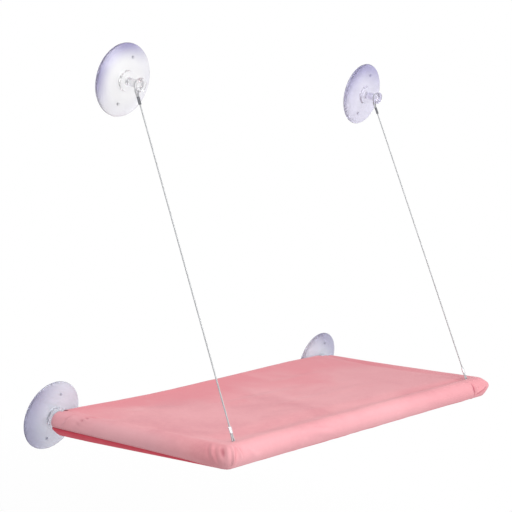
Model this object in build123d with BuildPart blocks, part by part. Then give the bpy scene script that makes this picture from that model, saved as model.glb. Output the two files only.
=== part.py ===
from build123d import *
import os
from math import acos, asin, atan2, cos, degrees, pi, radians, sin, sqrt

# Window mounted cat perch, in millimetres, +Z up. The window pane is the plane Y = 0 and the room is
# towards -Y. The origin lies on the pane, midway between the two lower suction cups.

# Bed and frame
platform_length = 560.0
platform_depth = 274.0
platform_tilt = 12.5
fold_travel = 60.0
tube_radius = 10.0
tube_wall = 1.8
tube_fit = 0.1
tube_end_gap = 0.3
socket_wall = 2.1
socket_depth = 24.0
socket_shoulder = 3.0
elbow_wall = 1.3
elbow_core_radius = 7.0

# Suction cups
cup_radius = 42.5
cup_lip = 1.2
cup_dome_height = 6.0
cup_dome_bulge = 1.4
cup_boss_radius = 11.0
cup_boss_foot = 1.6
cup_boss_height = 8.4
cup_boss_gap = 1.3
cup_neck_radius = 4.5
cup_head_thickness = 3.8
cup_head_edge = 1.0
cup_head_clearance = 0.2
cup_head_beyond = 3.2
cup_hollow_radius = 30.0
cup_hollow_depth = 2.0
cup_nub_radius = 1.8
cup_nub_stand = 0.5
cup_nub_turns = (78.0, 258.0)
upper_cup_spacing = 480.0
upper_cup_height = 403.0

# Cover
cover_thickness = 1.1
cover_gap = 0.2
cover_edge_drop = 1.0
cover_sag = 4.5
cover_underside_drop = 0.3
slab_inset = 1.5
cover_seam_rear = 4.5
cover_seam_front = 12.0
cover_seam_gap = 0.15
neck_slot_clearance = 0.5
cover_slot_clearance = 1.2

# Closing strips under the bed
opening_length = 420.0
opening_width = 8.0
opening_from_rear = 70.0
strip_length = 440.0
strip_width = 20.0
strip_thickness = 0.9
flap_width = 52.0
flap_margin = 6.0

# Couplers
coupler_grip = 32.0
coupler_wall = 2.2
coupler_rib = 3.0

# Steel wire cables
wire_radius = 0.9
wire_fit = 0.2
eye_stand = 1.0
eye_drop = 0.8
eye_bend_radius = 2.0
eye_spread_radius = 12.0
eye_straight = 2.4
upper_ferrule_from_bend = 3.0
upper_ferrule_length = 12.0
lower_ferrule_from_pin = 22.3
lower_ferrule_length = 7.5
ferrule_wall = 0.45
ferrule_edge = 0.4
strand_gap = 0.1
anchor_inset = 18.0
anchor_shoulder = 7.0
anchor_pin_radius = 1.5
anchor_pin_recess = 0.4
anchor_pin_fit = 0.05
anchor_slot_clearance = 0.7
cover_slit_clearance = 1.1

overrun = 5.0

# Radii that grow outwards from the frame tube
socket_radius = tube_radius + tube_fit
elbow_radius = socket_radius + socket_wall
cavity_radius = elbow_radius - elbow_wall
casing_radius = elbow_radius + cover_gap
roll_radius = casing_radius + cover_thickness
tube_bore_radius = tube_radius - tube_wall

# The mushroom head lies past the middle of a rear elbow's hollow ball, just fits it and stays clear of its
# wall as the bed folds
head_reach = cup_head_beyond + cup_head_thickness
cup_head_radius = sqrt((cavity_radius - cup_head_clearance) ** 2 - head_reach**2)
fold_axis_reach = cup_boss_height + cup_boss_gap + roll_radius
head_near = fold_axis_reach + cup_head_beyond
head_far = head_near + cup_head_thickness

# Places in the bed's own frame: x along the window, y towards the window, z out of the bed's top
side_x = platform_length / 2 - roll_radius
rail_y = platform_depth - 2 * roll_radius
rear_socket_start = cavity_radius + socket_shoulder
front_socket_start = anchor_inset + anchor_shoulder
tilt_angle = radians(platform_tilt)
deck = Plane(origin=(0, -fold_axis_reach, 0), x_dir=(1, 0, 0), z_dir=(0, sin(tilt_angle), cos(tilt_angle)))
fold_axis = Axis((0, -fold_axis_reach, 0), (1, 0, 0))


def deck_plane(x, y, z, turn=(0, 0, 0)):
    """A plane at a place in the bed's frame, turned about its own axes in degrees."""
    return Plane(deck.location * Location((x, y, z), turn))


def inward(side):
    """The turn that points a plane's normal along the rails, away from that side's end."""
    return (0, -side * 90, 0)


forward = (90, 0, 0)
backward = (-90, 0, 0)
sides = {"left": -1, "right": 1}
pieces = {}


def keep(name, builder):
    builder.part.label = name
    pieces[name] = builder.part


# Suction cups, pressed on the pane: thin rim, low dome, boss, neck and mushroom head in one moulding
dome_foot_radius = cup_boss_radius + cup_boss_foot
dome_mid_radius = (cup_radius + dome_foot_radius) / 2
dome_mid_height = (cup_lip + cup_dome_height) / 2 + cup_dome_bulge
hollow_mid_share = 0.74
head_edge_mid = cup_head_edge * (1 - cos(radians(45)))


def suction_cup(x, z):
    with BuildPart() as cup:
        with BuildSketch(Plane(origin=(x, 0, z), x_dir=(1, 0, 0), z_dir=(0, 0, -1))):
            with BuildLine():
                ThreePointArc(
                    (0, cup_hollow_depth),
                    (cup_hollow_radius / 2, cup_hollow_depth * hollow_mid_share),
                    (cup_hollow_radius, 0),
                )
                Line((cup_hollow_radius, 0), (cup_radius, 0))
                Line((cup_radius, 0), (cup_radius, cup_lip))
                ThreePointArc(
                    (cup_radius, cup_lip),
                    (dome_mid_radius, dome_mid_height),
                    (dome_foot_radius, cup_dome_height),
                )
                Polyline(
                    (dome_foot_radius, cup_dome_height),
                    (cup_boss_radius, cup_boss_height),
                    (cup_neck_radius, cup_boss_height),
                    (cup_neck_radius, head_near),
                    (cup_head_radius - cup_head_edge, head_near),
                )
                ThreePointArc(
                    (cup_head_radius - cup_head_edge, head_near),
                    (cup_head_radius - head_edge_mid, head_near + head_edge_mid),
                    (cup_head_radius, head_near + cup_head_edge),
                )
                Line((cup_head_radius, head_near + cup_head_edge), (cup_head_radius, head_far - cup_head_edge))
                ThreePointArc(
                    (cup_head_radius, head_far - cup_head_edge),
                    (cup_head_radius - head_edge_mid, head_far - head_edge_mid),
                    (cup_head_radius - cup_head_edge, head_far),
                )
                Polyline((cup_head_radius - cup_head_edge, head_far), (0, head_far), (0, cup_hollow_depth))
            make_face()
        revolve(axis=Axis((x, 0, z), (0, -1, 0)))
        for turn in cup_nub_turns:
            nub_x = x + dome_mid_radius * cos(radians(turn))
            nub_z = z + dome_mid_radius * sin(radians(turn))
            with BuildSketch(Plane(origin=(nub_x, -cup_lip, nub_z), x_dir=(1, 0, 0), z_dir=(0, -1, 0))):
                Circle(cup_nub_radius)
            extrude(amount=dome_mid_height + cup_nub_stand - cup_lip)
    return cup


for word, side in sides.items():
    keep(f"lower_{word}_suction_cup", suction_cup(side * side_x, 0))
    keep(f"upper_{word}_suction_cup", suction_cup(side * upper_cup_spacing / 2, upper_cup_height))


# The slot that a lower cup's neck runs along as the bed folds: from its place at rest up and over the top
def cut_neck_slot(x, half_width, wall_radius, inner, outer):
    lead = asin(half_width / wall_radius)
    low_end = Plane(origin=(x, -fold_axis_reach, 0), x_dir=(1, 0, 0), z_dir=(0, sin(lead), cos(lead)))
    with BuildSketch(low_end) as band:
        with Locations((0, (inner + outer) / 2)):
            Rectangle(2 * half_width, outer - inner)
    revolve(band.sketch, axis=fold_axis, revolution_arc=fold_travel + 2 * degrees(lead), mode=Mode.SUBTRACT)


# Corner elbows: a hollow ball with two socket legs, one along the rail and one along the side tube, made flat
# and then laid in the bed's frame
def add_leg(x, y, turn, length):
    with BuildSketch(Plane(Location((x, y, 0), turn))) as leg:
        Circle(elbow_radius)
    extrude(leg.sketch, amount=length)


def cut_bore(x, y, turn, radius, start, length):
    with BuildSketch(Plane(Location((x, y, 0), turn)).offset(start)) as bore:
        Circle(radius)
    extrude(bore.sketch, amount=length, mode=Mode.SUBTRACT)


def elbow(x, y, hollow_radius, legs):
    """The legs are given by their turns and by how far from the corner their sockets start."""
    with BuildPart() as body:
        with Locations((x, y, 0)):
            Sphere(elbow_radius)
        for turn, start in legs:
            add_leg(x, y, turn, start + socket_depth)
        with Locations((x, y, 0)):
            Sphere(hollow_radius, mode=Mode.SUBTRACT)
        for turn, start in legs:
            cut_bore(x, y, turn, elbow_core_radius, 0, start)
            cut_bore(x, y, turn, socket_radius, start, socket_depth + overrun)
    return body.part.moved(deck.location)


for word, side in sides.items():
    x = side * side_x
    legs = ((inward(side), rear_socket_start), (forward, rear_socket_start))
    with BuildPart() as rear_elbow:
        add(elbow(x, 0, cavity_radius, legs))
        slot_half_width = cup_neck_radius + neck_slot_clearance
        cut_neck_slot(x, slot_half_width, cavity_radius, elbow_core_radius, roll_radius)
    keep(f"rear_{word}_elbow", rear_elbow)


# The straight line of each cable, from the bend below an upper cup's head to the anchor pin
upper_x = upper_cup_spacing / 2
anchor_x = side_x - anchor_inset
eye_y = -(head_near - wire_radius - eye_stand)
bend_drop = cup_head_radius + eye_drop
pin_centre = deck.from_local_coords(Vector(0, -rail_y, 0))


def bend_point(side):
    return Vector(side * upper_x, eye_y, upper_cup_height - bend_drop)


def anchor_point(side):
    return Vector(side * anchor_x, pin_centre.Y, pin_centre.Z)


def cable_plane(side, distance):
    """A plane across the cable, that far down its line from the bend, with its normal down the line."""
    start = bend_point(side)
    line = (anchor_point(side) - start).normalized()
    return Plane(origin=start + line * distance, x_dir=(1, 0, 0), z_dir=line)


def cable_span(side):
    return (anchor_point(side) - bend_point(side)).length


# Front elbows carry a steel pin each, under a slot that the cable's eye passes through
eye_radius = anchor_pin_radius + wire_fit + wire_radius
slot_half_length = eye_radius + wire_radius
pin_half = elbow_radius - anchor_pin_recess
for word, side in sides.items():
    x = side * side_x
    across = cable_plane(side, cable_span(side))
    pin_plane = Plane(origin=across.origin, x_dir=(1, 0, 0), z_dir=across.y_dir)
    legs = ((inward(side), front_socket_start), (backward, rear_socket_start))
    with BuildPart() as front_elbow:
        add(elbow(x, -rail_y, socket_radius, legs))
        with BuildSketch(across):
            Rectangle(
                2 * (slot_half_length + anchor_slot_clearance),
                2 * (wire_radius + anchor_slot_clearance),
            )
        extrude(amount=-(elbow_radius + overrun), mode=Mode.SUBTRACT)
        with BuildSketch(pin_plane.offset(-elbow_radius - overrun)):
            Circle(anchor_pin_radius + anchor_pin_fit)
        extrude(amount=2 * (elbow_radius + overrun), mode=Mode.SUBTRACT)
    keep(f"front_{word}_elbow", front_elbow)

    with BuildPart() as anchor_pin:
        with BuildSketch(pin_plane.offset(-pin_half)):
            Circle(anchor_pin_radius)
        extrude(amount=2 * pin_half)
    keep(f"{word}_anchor_pin", anchor_pin)


# Frame tubes and the couplers inside the long rails
def tube(x, y, turn, length):
    with BuildPart() as piece:
        with BuildSketch(deck_plane(x, y, 0, turn)):
            Circle(tube_radius)
            Circle(tube_bore_radius, mode=Mode.SUBTRACT)
        extrude(amount=length)
    return piece


rails = {"rear": (0, rear_socket_start), "front": (-rail_y, front_socket_start)}
for rail, (y, socket_start) in rails.items():
    tube_start = socket_start + tube_end_gap
    half_length = side_x - tube_start - coupler_rib / 2
    for word, side in sides.items():
        keep(f"{rail}_{word}_tube", tube(side * (side_x - tube_start), y, inward(side), half_length))
    with BuildPart() as coupler:
        with BuildSketch(deck_plane(-coupler_rib / 2, y, 0, inward(-1))):
            Circle(tube_radius)
        extrude(amount=coupler_rib)
        with BuildSketch(deck_plane(-coupler_rib / 2 - coupler_grip, y, 0, inward(-1))):
            Circle(tube_bore_radius - tube_fit)
        extrude(amount=2 * coupler_grip + coupler_rib)
        with BuildSketch(deck_plane(-coupler_rib / 2 - coupler_grip, y, 0, inward(-1))):
            Circle(tube_bore_radius - tube_fit - coupler_wall)
        extrude(amount=2 * coupler_grip + coupler_rib, mode=Mode.SUBTRACT)
    keep(f"{rail}_coupler", coupler)

side_start = rear_socket_start + tube_end_gap
for word, side in sides.items():
    keep(f"{word}_side_tube", tube(side * side_x, -side_start, forward, rail_y - 2 * side_start))


# Cover: a thin case that rolls over the tubes, with a recessed, slightly sagging top between the rolls
def case(radius, top, bottom):
    """Rolls round all four tubes and the slab between them, whose top sags towards its middle."""
    slab_x = side_x - slab_inset
    slab_y = rail_y - slab_inset
    with BuildPart() as body:
        with BuildSketch(Plane(origin=(-slab_x, 0, 0), x_dir=(0, 1, 0), z_dir=(1, 0, 0))):
            with BuildLine():
                ThreePointArc((-slab_inset, top), (-rail_y / 2, top - cover_sag), (-slab_y, top))
                Polyline((-slab_y, top), (-slab_y, bottom), (-slab_inset, bottom), (-slab_inset, top))
            make_face()
        extrude(amount=2 * slab_x)
        with BuildSketch(Plane(origin=(-side_x, 0, 0), x_dir=(0, 1, 0), z_dir=(1, 0, 0))):
            with Locations((0, 0), (-rail_y, 0)):
                Circle(radius)
        extrude(amount=2 * side_x)
        with BuildSketch(Plane(origin=(0, 0, 0), x_dir=(1, 0, 0), z_dir=(0, -1, 0))):
            with Locations((-side_x, 0), (side_x, 0)):
                Circle(radius)
        extrude(amount=rail_y)
        for side in sides.values():
            for y, turn_hand in ((0, side), (-rail_y, -side)):
                corner = (side * side_x, y, 0)
                with BuildSketch(Plane(origin=corner, x_dir=(side, 0, 0), z_dir=(0, -side, 0))):
                    with BuildLine():
                        ThreePointArc((0, -radius), (radius, 0), (0, radius))
                        Line((0, radius), (0, -radius))
                    make_face()
                revolve(axis=Axis(corner, (0, 0, turn_hand)), revolution_arc=90)
    return body.part.moved(deck.location)


case_top = roll_radius - cover_edge_drop
case_bottom = -(roll_radius - cover_underside_drop)
case_outside = case(roll_radius, case_top, case_bottom)
case_inside = case(casing_radius, case_top - cover_thickness, case_bottom + cover_thickness)

# The seam between the top and the bottom panel drops from the rear roll to the front one
seam_slope = degrees(atan2(cover_seam_front - cover_seam_rear, rail_y))
seam = deck_plane(0, 0, -cover_seam_rear, (seam_slope, 0, 0))

with BuildPart() as cover_top:
    add(case_outside)
    add(case_inside, mode=Mode.SUBTRACT)
    split(bisect_by=seam.offset(cover_seam_gap), keep=Keep.TOP)
    slot_half_width = cup_neck_radius + cover_slot_clearance
    slot_outside = roll_radius + overrun
    for side in sides.values():
        cut_neck_slot(side * side_x, slot_half_width, elbow_radius, elbow_core_radius, slot_outside)
        with BuildSketch(cable_plane(side, cable_span(side) - elbow_radius)):
            Rectangle(
                2 * (slot_half_length + cover_slit_clearance),
                2 * (wire_radius + cover_slit_clearance),
            )
        extrude(amount=-(cover_gap + cover_thickness + overrun), mode=Mode.SUBTRACT)
keep("cover_top", cover_top)

opening_y = -opening_from_rear
with BuildPart() as cover_bottom:
    add(case_outside)
    add(case_inside, mode=Mode.SUBTRACT)
    split(bisect_by=seam, keep=Keep.BOTTOM)
    with BuildSketch(deck_plane(0, opening_y, case_bottom - overrun)):
        Rectangle(opening_length, opening_width)
    extrude(amount=cover_thickness + 2 * overrun, mode=Mode.SUBTRACT)
keep("cover_bottom", cover_bottom)

# The opening in the cover's underside is shut by a flap with loop strip and hook strip between
strip_y = opening_y - opening_width / 2 - flap_margin - strip_width / 2
strip_tops = {"loop_strip": case_bottom, "hook_strip": case_bottom - strip_thickness}
for name, top in strip_tops.items():
    with BuildPart() as strip:
        with BuildSketch(deck_plane(0, strip_y, top - strip_thickness)):
            Rectangle(strip_length, strip_width)
        extrude(amount=strip_thickness)
    keep(name, strip)

flap_top = case_bottom - 2 * strip_thickness
flap_seam_y = opening_y + opening_width / 2 + flap_margin
with BuildPart() as closing_flap:
    with BuildSketch(deck_plane(0, flap_seam_y - flap_width / 2, flap_top - cover_thickness)):
        Rectangle(strip_length + 2 * flap_margin, flap_width)
    extrude(amount=cover_thickness)
    with BuildSketch(deck_plane(0, flap_seam_y - flap_margin / 2, flap_top)):
        Rectangle(strip_length + 2 * flap_margin, flap_margin)
    extrude(amount=2 * strip_thickness)
keep("closing_flap", closing_flap)


# Cables: the straight run, an eye at each end and the crimped ferrules between
strand_offset = wire_radius + strand_gap / 2
ferrule_half_width = strand_offset + wire_radius + ferrule_wall
ferrule_half_thickness = wire_radius + ferrule_wall


def ferrule(side, start, length):
    with BuildPart() as piece:
        with BuildSketch(cable_plane(side, start)):
            SlotOverall(2 * ferrule_half_width, 2 * ferrule_half_thickness)
        extrude(amount=length)
        fillet(piece.faces().filter_by(GeomType.PLANE).sort_by(Axis.Z)[0].edges(), ferrule_edge)
    return piece


def wire(path_line):
    with BuildPart() as piece:
        with BuildSketch(Plane(origin=path_line @ 0, z_dir=path_line % 0)):
            Circle(wire_radius)
        sweep(path=path_line)
    return piece


neck_eye_radius = cup_neck_radius + wire_fit + wire_radius
for word, side in sides.items():
    span = cable_span(side)
    upper_end = upper_ferrule_from_bend + upper_ferrule_length
    lower_end = span - lower_ferrule_from_pin - lower_ferrule_length
    keep(f"upper_{word}_ferrule", ferrule(side, upper_ferrule_from_bend, upper_ferrule_length))
    keep(f"lower_{word}_ferrule", ferrule(side, lower_end, lower_ferrule_length))

    with BuildPart() as cable:
        with BuildSketch(cable_plane(side, upper_end)):
            Circle(wire_radius)
        extrude(amount=lower_end - upper_end)
    keep(f"{word}_cable", cable)

    # Upper eye: over the top of the neck, then down behind the head and together into the ferrule
    neck = Vector(side * upper_x, eye_y, upper_cup_height)
    exit_plane = cable_plane(side, upper_ferrule_from_bend)
    reach = sqrt(strand_offset**2 + bend_drop**2)
    rise = asin(strand_offset / reach) + acos(neck_eye_radius / reach) - pi / 2
    ends = {}
    for hand in (-1, 1):
        ends[hand] = [
            exit_plane.origin + exit_plane.x_dir * (hand * strand_offset),
            neck + Vector(hand * strand_offset, 0, -bend_drop),
            neck + Vector(hand * neck_eye_radius * cos(rise), 0, neck_eye_radius * sin(rise)),
        ]
    with BuildLine() as eye_path:
        FilletPolyline(*ends[-1], radius=eye_bend_radius)
        ThreePointArc(ends[-1][-1], neck + Vector(0, 0, neck_eye_radius), ends[1][-1])
        FilletPolyline(*reversed(ends[1]), radius=eye_bend_radius)
    keep(f"upper_{word}_eye", wire(eye_path.wire()))

    # Lower eye: round the anchor pin and together into the ferrule
    pin = cable_plane(side, span)
    eye_plane = Plane(origin=pin.origin, x_dir=pin.x_dir, z_dir=pin.x_dir.cross(-pin.z_dir))
    bend_z = lower_ferrule_from_pin - eye_straight
    reach = sqrt(strand_offset**2 + bend_z**2)
    lean = pi / 2 - asin(strand_offset / reach) - acos(eye_radius / reach)
    touch = (eye_radius * cos(lean), eye_radius * sin(lean))
    with BuildLine(eye_plane) as pin_path:
        FilletPolyline(
            (-strand_offset, lower_ferrule_from_pin),
            (-strand_offset, bend_z),
            (-touch[0], touch[1]),
            radius=eye_spread_radius,
        )
        ThreePointArc((-touch[0], touch[1]), (0, -eye_radius), touch)
        FilletPolyline(
            touch,
            (strand_offset, bend_z),
            (strand_offset, lower_ferrule_from_pin),
            radius=eye_spread_radius,
        )
    keep(f"lower_{word}_eye", wire(pin_path.wire()))

    run_length = lower_end - upper_end
    print(f"{word} cable: straight run {run_length:.1f}, upper eye {eye_path.wire().length:.1f},")
    print(f"  lower eye {pin_path.wire().length:.1f}, radii {neck_eye_radius:.1f}, {eye_bend_radius:.1f},")
    print(f"  {eye_radius:.1f} and {eye_spread_radius:.1f}")

os.makedirs("parts", exist_ok=True)
for name, solid in pieces.items():
    export_step(solid, f"parts/{name}.step")
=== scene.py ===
from math import acos, atan2, cos, hypot, pi, radians, sin, sqrt

import bmesh
import bpy
from mathutils import Matrix, Vector, noise
from mathutils.bvhtree import BVHTree


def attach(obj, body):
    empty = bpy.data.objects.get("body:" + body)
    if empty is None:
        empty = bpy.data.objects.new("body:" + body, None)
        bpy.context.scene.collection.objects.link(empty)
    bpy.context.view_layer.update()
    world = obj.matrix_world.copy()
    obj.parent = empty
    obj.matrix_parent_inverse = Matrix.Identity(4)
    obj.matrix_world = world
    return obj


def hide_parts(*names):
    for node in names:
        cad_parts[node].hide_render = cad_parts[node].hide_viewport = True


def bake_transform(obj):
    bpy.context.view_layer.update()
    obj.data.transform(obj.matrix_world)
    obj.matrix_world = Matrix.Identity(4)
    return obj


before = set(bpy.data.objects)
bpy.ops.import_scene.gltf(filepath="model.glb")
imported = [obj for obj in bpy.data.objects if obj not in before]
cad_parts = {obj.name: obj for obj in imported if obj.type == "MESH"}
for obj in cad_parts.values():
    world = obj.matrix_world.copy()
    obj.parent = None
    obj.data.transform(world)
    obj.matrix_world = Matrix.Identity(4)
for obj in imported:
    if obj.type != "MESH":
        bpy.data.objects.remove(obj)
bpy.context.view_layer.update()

# Studio
# The perch hangs high in an empty white room, where its window would be behind it. The camera stands low and to
# the left, rolled to the right. A large soft lamp lights the front, and a second one fills in from above.


def add_node(tree, kind, inputs=None, **settings):
    """A shader node with its settings, and its inputs given as values or as sockets to link from."""
    found = tree.nodes.new("ShaderNode" + kind)
    for name, value in settings.items():
        setattr(found, name, value)
    for name, value in (inputs or {}).items():
        if isinstance(value, bpy.types.NodeSocket):
            tree.links.new(value, found.inputs[name])
        else:
            found.inputs[name].default_value = value
    return found


def paint(red, green, blue):
    """A colour given as it looks on a screen, from 0 to 255."""
    shares = [level / 255 for level in (red, green, blue)]
    return (*(s / 12.92 if s <= 0.04045 else ((s + 0.055) / 1.055) ** 2.4 for s in shares), 1.0)


def seen_directly(tree):
    """1 for what the camera, a mirror or a clear piece looks at, and 0 for light that falls on a surface."""
    rays = add_node(tree, "LightPath").outputs
    mirrored = add_node(tree, "Math", {0: rays["Is Camera Ray"], 1: rays["Is Glossy Ray"]}, operation="MAXIMUM")
    return add_node(tree, "Math", {0: mirrored.outputs[0], 1: rays["Is Transmission Ray"]}, operation="MAXIMUM")


bpy.context.scene.view_settings.view_transform = "Standard"

azimuth, elevation, lean = radians(-53.09), radians(13.0), radians(11.0)
back = Vector((sin(azimuth) * cos(elevation), -cos(azimuth) * cos(elevation), sin(elevation)))
right = Matrix.Rotation(lean, 3, back) @ Vector((0, 0, 1)).cross(back).normalized()
stand = Matrix((right, back.cross(right), back)).transposed().to_4x4()
stand.translation = (-1.3278, -1.0495, 0.5782)
camera = bpy.data.objects.new("camera", bpy.data.cameras.new("camera"))
camera.data.lens = 93.44
camera.data.sensor_width = 36
camera.matrix_world = stand
bpy.context.scene.collection.objects.link(camera)
bpy.context.scene.camera = camera

surround = bpy.data.worlds.new("surround")
surround.use_nodes = True
surround.node_tree.nodes.clear()
sky = add_node(surround.node_tree, "Mix", {0: seen_directly(surround.node_tree).outputs[0]}, data_type="RGBA")
sky.inputs[6].default_value = (0.6, 0.6, 0.61, 1)
sky.inputs[7].default_value = (1, 1, 1, 1)
glow = add_node(surround.node_tree, "Background", {"Color": sky.outputs[2], "Strength": 1})
add_node(surround.node_tree, "OutputWorld", {"Surface": glow.outputs[0]})
bpy.context.scene.world = surround

for name, place, aim, size, power in (
    ("front_lamp", (0.5, -2.0, 0.95), (0, -0.12, 0.15), 1.1, 20),
    ("top_lamp", (-0.75, -0.55, 1.8), (-0.05, -0.12, 0.1), 1.3, 15),
):
    lamp = bpy.data.objects.new(name, bpy.data.lights.new(name, "AREA"))
    lamp.data.shape = "DISK"
    lamp.data.size = size
    lamp.data.energy = power
    lamp.location = place
    lamp.rotation_euler = (Vector(aim) - Vector(place)).to_track_quat("-Z", "Y").to_euler()
    bpy.context.scene.collection.objects.link(lamp)

bm = bmesh.new()
bmesh.ops.create_grid(bm, x_segments=2, y_segments=2, size=6, matrix=Matrix.Translation((0, 0, -1.4)))
floor_mesh = bpy.data.meshes.new("floor")
bm.to_mesh(floor_mesh)
bm.free()
floor = bpy.data.objects.new("floor", floor_mesh)
bpy.context.scene.collection.objects.link(floor)
floor_paint = bpy.data.materials.new("white_floor")
floor_paint.use_nodes = True
tree = floor_paint.node_tree
tree.nodes.clear()
near = add_node(tree, "Mapping", {"Vector": add_node(tree, "TexCoord").outputs["Object"], "Scale": (0.3, 0.3, 0.0)})
near = add_node(tree, "TexGradient", {"Vector": near.outputs[0]}, gradient_type="SPHERICAL")
shine = add_node(tree, "Math", {0: near.outputs[1], 1: -0.14, 2: 1.0}, operation="MULTIPLY_ADD")
direct = add_node(tree, "Math", {0: seen_directly(tree).outputs[0], 1: shine.outputs[0]}, operation="MULTIPLY")
matt = add_node(tree, "BsdfDiffuse", {"Color": (0.9, 0.9, 0.9, 1)})
white = add_node(tree, "Emission", {"Color": (1, 1, 1, 1), "Strength": 1})
both = add_node(tree, "MixShader", {0: direct.outputs[0], 1: matt.outputs[0], 2: white.outputs[0]})
add_node(tree, "OutputMaterial", {"Surface": both.outputs[0]})
floor.data.materials.append(floor_paint)


# Steel cables
# Each is wire rope of 1.8 mm: six strands laid round a core. It runs straight and tight from the sleeve
# under an upper cup's head to the sleeve at the bed's front corner.
rope_radius = 0.0009
strand_lay = 0.011
eye_plane_y = -0.0245
neck_x, neck_height = 0.24, 0.403
bend_drop = 0.008893
pin_x, pin_depth, pin_height = 0.2485, 0.264345, 0.053461
sides = {"left": -1, "right": 1}


def cable_ends(side):
    """The bend under the upper cup's head and the middle of the pin in the bed's front corner."""
    bend = Vector((side * neck_x, eye_plane_y, neck_height - bend_drop))
    pin = Vector((side * pin_x, -pin_depth, pin_height))
    return bend, pin


def smooth_line(points, step):
    """Points a step apart along the smooth line that a few control points pull towards themselves."""
    shape = bpy.data.curves.new("line", "CURVE")
    shape.dimensions = "3D"
    shape.resolution_u = 32
    spline = shape.splines.new("NURBS")
    spline.points.add(len(points) - 1)
    for point, place in zip(spline.points, points):
        point.co = (*place, 1)
    spline.order_u = 3
    spline.use_endpoint_u = True
    holder = bpy.data.objects.new("line", shape)
    mesh = bpy.data.meshes.new_from_object(holder)
    fine = [vertex.co.copy() for vertex in mesh.vertices]
    bpy.data.objects.remove(holder)
    bpy.data.curves.remove(shape)
    bpy.data.meshes.remove(mesh)
    run = [0.0]
    for a, b in zip(fine, fine[1:]):
        run.append(run[-1] + (b - a).length)
    count = max(2, round(run[-1] / step))
    line, k = [], 0
    for number in range(count + 1):
        want = run[-1] * number / count
        while k < len(run) - 2 and run[k + 1] < want:
            k += 1
        share = (want - run[k]) / max(run[k + 1] - run[k], 1e-9)
        line.append(fine[k].lerp(fine[k + 1], share))
    return line


def finished(name, mesh, material, body):
    """A piece of the object: smooth, in its material, on its body."""
    for face in mesh.polygons:
        face.use_smooth = True
    mesh.materials.clear()
    mesh.materials.append(material)
    piece = bpy.data.objects.new(name, mesh)
    bpy.context.scene.collection.objects.link(piece)
    if body:
        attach(piece, body)
    return piece


def mesh_of(bm, name):
    mesh = bpy.data.meshes.new(name)
    bm.to_mesh(mesh)
    bm.free()
    return mesh


def wire_rope(name, line, across):
    """Six strands laid round a core strand, along a line. The core is drawn last."""
    strand = rope_radius / 3
    laid = 6
    shape = bpy.data.curves.new(name, "CURVE")
    shape.dimensions = "3D"
    shape.bevel_depth = strand
    shape.bevel_resolution = 1
    shape.use_fill_caps = True
    last = len(line) - 1
    for number in range(laid + 1):
        spline = shape.splines.new("POLY")
        spline.points.add(last)
        run = 0.0
        for k, place in enumerate(line):
            ahead = (line[min(k + 1, last)] - line[max(k - 1, 0)]).normalized()
            out = (across - ahead * across.dot(ahead)).normalized()
            run += (place - line[max(k - 1, 0)]).length
            turn = number * pi / 3 + 2 * pi * run / strand_lay
            offset = out * cos(turn) + ahead.cross(out) * sin(turn) if number < laid else Vector()
            spline.points[k].co = (*(place + offset * 2 * strand), 1)
    holder = bpy.data.objects.new(name, shape)
    mesh = bpy.data.meshes.new_from_object(holder)
    mesh.name = name
    bpy.data.objects.remove(holder)
    bpy.data.curves.remove(shape)
    return mesh


def new_material(name):
    """A material with its tree, an Object coordinate and a Principled BSDF that is already linked."""
    material = bpy.data.materials.new(name)
    material.use_nodes = True
    tree = material.node_tree
    tree.nodes.clear()
    shader = add_node(tree, "BsdfPrincipled")
    add_node(tree, "OutputMaterial", {"Surface": shader.outputs[0]})
    place = add_node(tree, "TexCoord").outputs["Object"]
    return material, tree, place, shader


def new_group(name, inputs, outputs):
    """A node group with named number inputs, a Vector input and number outputs."""
    group = bpy.data.node_groups.new(name, "ShaderNodeTree")
    group.interface.new_socket("Vector", in_out="INPUT", socket_type="NodeSocketVector")
    for socket, value in inputs.items():
        made = group.interface.new_socket(socket, in_out="INPUT", socket_type="NodeSocketFloat")
        made.default_value = value
    for socket in outputs:
        group.interface.new_socket(socket, in_out="OUTPUT", socket_type="NodeSocketFloat")
    return group, group.nodes.new("NodeGroupInput").outputs, group.nodes.new("NodeGroupOutput")


# Drawn and pressed metal is dulled in patches and finely scratched
metal_skin, given, made = new_group("metal_skin", {"Grain": 900.0, "Dullness": 0.35}, ("Tone", "Roughness", "Height"))
clouds = add_node(metal_skin, "TexNoise", {"Vector": given["Vector"], "Scale": 140, "Detail": 3})
scratches = add_node(metal_skin, "TexNoise", {"Vector": given["Vector"], "Scale": given["Grain"], "Detail": 4})
rough = add_node(metal_skin, "MapRange", {"Value": clouds.outputs[0], "From Min": 0.35, "From Max": 0.65})
spread = add_node(metal_skin, "Math", {0: rough.outputs[0], 1: 0.22, 2: given["Dullness"]}, operation="MULTIPLY_ADD")
metal_skin.links.new(clouds.outputs[0], made.inputs["Tone"])
metal_skin.links.new(spread.outputs[0], made.inputs["Roughness"])
metal_skin.links.new(scratches.outputs[0], made.inputs["Height"])


def skinned(name, group, settings, dark, light, strength, depth):
    """A material between two tones whose tone, roughness and relief come from a shared skin."""
    material, tree, place, shader = new_material(name)
    skin = add_node(tree, "Group", node_tree=group)
    tree.links.new(place, skin.inputs["Vector"])
    for socket, value in settings.items():
        skin.inputs[socket].default_value = value
    tone = add_node(tree, "Mix", {0: skin.outputs["Tone"], 6: dark, 7: light}, data_type="RGBA")
    bump = add_node(tree, "Bump", {"Strength": strength, "Distance": depth, "Height": skin.outputs["Height"]})
    tree.links.new(tone.outputs[2], shader.inputs["Base Color"])
    tree.links.new(skin.outputs["Roughness"], shader.inputs["Roughness"])
    tree.links.new(bump.outputs[0], shader.inputs["Normal"])
    return material, shader


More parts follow.
